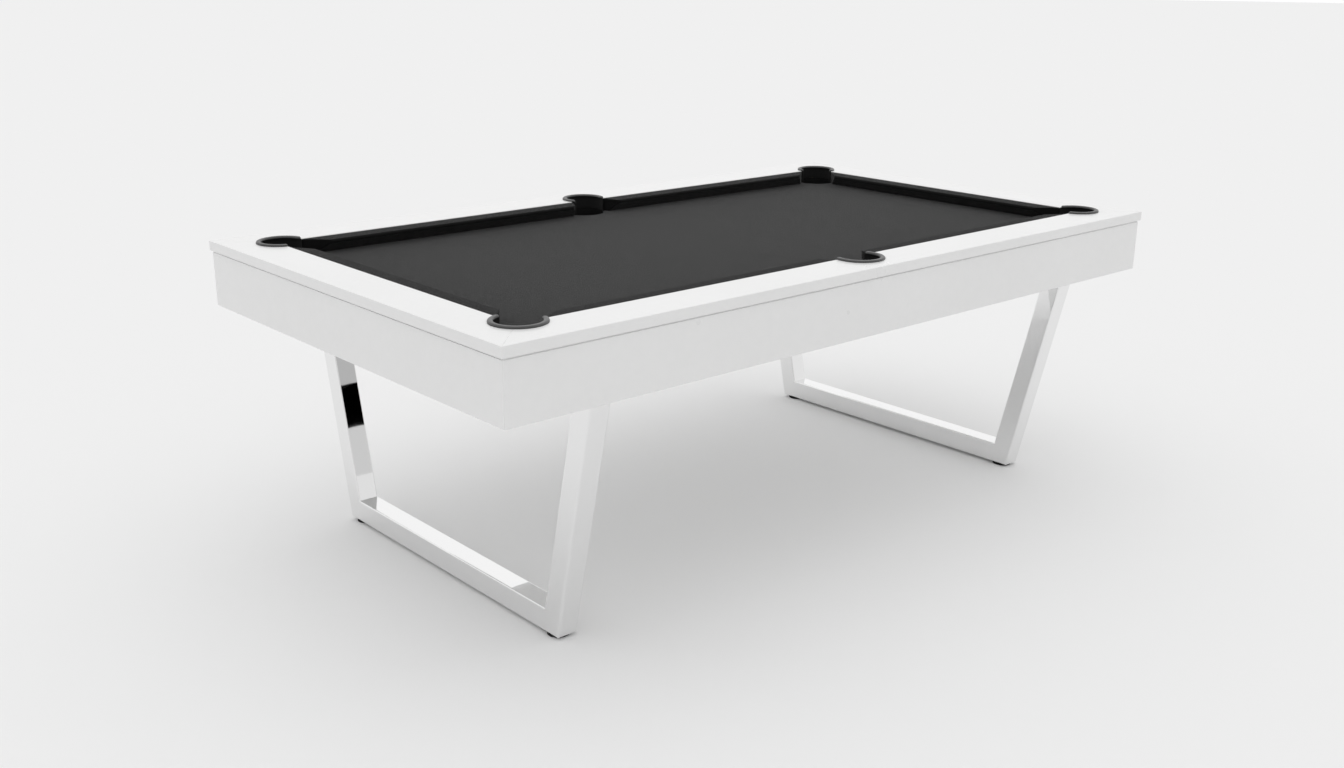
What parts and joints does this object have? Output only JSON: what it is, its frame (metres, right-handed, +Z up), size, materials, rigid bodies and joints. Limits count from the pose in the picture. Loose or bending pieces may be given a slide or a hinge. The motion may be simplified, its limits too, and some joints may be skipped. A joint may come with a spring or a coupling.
{
  "type": "pool table",
  "caption": "Pool table with a white lacquered cabinet, charcoal cloth bed and cushions, drop pockets with dark collars, and chromed trapezoid leg frames with levelling feet.",
  "frame": {"origin": "on the floor under the middle of the table", "axes": "+X along the table, +Y across it, +Z up"},
  "size_m": [2.33, 1.34, 0.8055],
  "materials": {
    "white_lacquer": "smooth white satin lacquer",
    "underside_board": "pale painted board",
    "frame_timber": "planed softwood",
    "cushion_cloth": "charcoal felted cloth over rubber",
    "bed_cloth": "charcoal felted cloth",
    "pocket_collar": "satin dark grey",
    "pocket_cup": "matte black",
    "slate": "honed",
    "chrome": "polished",
    "plate_steel": "zinc plated",
    "fastener_steel": "zinc plated",
    "foot_rubber": "matte black"
  },
  "bodies": {
    "table": {"apron_back": "white_lacquer", "apron_front": "white_lacquer", "apron_left_end": "white_lacquer", "apron_right_end": "white_lacquer", "bed_cloth": "bed_cloth", "bottom_panels": "underside_board", "cap_back": "white_lacquer", "cap_front": "white_lacquer", "cap_left_end": "white_lacquer", "cap_right_end": "white_lacquer", "corner_blocks": "frame_timber", "cushion_back_left": "cushion_cloth", "cushion_back_right": "cushion_cloth", "cushion_front_left": "cushion_cloth", "cushion_front_right": "cushion_cloth", "cushion_left_end": "cushion_cloth", "cushion_right_end": "cushion_cloth", "foot_rings": "foot_rubber", "frame_cross_beams": "frame_timber", "frame_side_beams": "frame_timber", "leg_bar_left": "chrome", "leg_bar_right": "chrome", "leg_bolts": "fastener_steel", "leg_plates": "plate_steel", "leg_post_back_left": "chrome", "leg_post_back_right": "chrome", "leg_post_front_left": "chrome", "leg_post_front_right": "chrome", "leveller_nuts": "fastener_steel", "pocket_collar_back_left": "pocket_collar", "pocket_collar_back_middle": "pocket_collar", "pocket_collar_back_right": "pocket_collar", "pocket_collar_front_left": "pocket_collar", "pocket_collar_front_middle": "pocket_collar", "pocket_collar_front_right": "pocket_collar", "pocket_cup_back_left": "pocket_cup", "pocket_cup_back_middle": "pocket_cup", "pocket_cup_back_right": "pocket_cup", "pocket_cup_front_left": "pocket_cup", "pocket_cup_front_middle": "pocket_cup", "pocket_cup_front_right": "pocket_cup", "rail_bolts": "fastener_steel", "slate_left": "slate", "slate_middle": "slate", "slate_right": "slate", "slate_screws": "fastener_steel", "subrail_back_left": "frame_timber", "subrail_back_right": "frame_timber", "subrail_front_left": "frame_timber", "subrail_front_right": "frame_timber", "subrail_left_end": "frame_timber", "subrail_right_end": "frame_timber"},
    "glide_front_left": {"leveller_glide_front_left": "fastener_steel"},
    "screw_front_left": {"leveller_screw_front_left": "fastener_steel"},
    "glide_front_right": {"leveller_glide_front_right": "fastener_steel"},
    "screw_front_right": {"leveller_screw_front_right": "fastener_steel"},
    "glide_back_left": {"leveller_glide_back_left": "fastener_steel"},
    "screw_back_left": {"leveller_screw_back_left": "fastener_steel"},
    "glide_back_right": {"leveller_glide_back_right": "fastener_steel"},
    "screw_back_right": {"leveller_screw_back_right": "fastener_steel"}
  },
  "joints": [
    {"name": "level_front_left", "type": "slide", "parent": "table", "child": "glide_front_left", "axis": [0, 0, -1], "range_m": [0, 0.012]},
    {"name": "turn_front_left", "type": "hinge", "parent": "glide_front_left", "child": "screw_front_left", "pos_m": [-0.876, -0.446, 0.02], "axis": [0, 0, -1], "range_deg": [0, 2469.57]},
    {"name": "level_front_right", "type": "slide", "parent": "table", "child": "glide_front_right", "axis": [0, 0, -1], "range_m": [0, 0.012]},
    {"name": "turn_front_right", "type": "hinge", "parent": "glide_front_right", "child": "screw_front_right", "pos_m": [0.876, -0.446, 0.02], "axis": [0, 0, -1], "range_deg": [0, 2469.57]},
    {"name": "level_back_left", "type": "slide", "parent": "table", "child": "glide_back_left", "axis": [0, 0, -1], "range_m": [0, 0.012]},
    {"name": "turn_back_left", "type": "hinge", "parent": "glide_back_left", "child": "screw_back_left", "pos_m": [-0.876, 0.446, 0.02], "axis": [0, 0, -1], "range_deg": [0, 2469.57]},
    {"name": "level_back_right", "type": "slide", "parent": "table", "child": "glide_back_right", "axis": [0, 0, -1], "range_m": [0, 0.012]},
    {"name": "turn_back_right", "type": "hinge", "parent": "glide_back_right", "child": "screw_back_right", "pos_m": [0.876, 0.446, 0.02], "axis": [0, 0, -1], "range_deg": [0, 2469.57]}
  ],
  "couplings": [
    {"joint": "turn_front_left", "follows": "level_front_left", "rad_per_m": 3590.4},
    {"joint": "turn_front_right", "follows": "level_front_right", "rad_per_m": 3590.4},
    {"joint": "turn_back_left", "follows": "level_back_left", "rad_per_m": 3590.4},
    {"joint": "turn_back_right", "follows": "level_back_right", "rad_per_m": 3590.4}
  ]
}
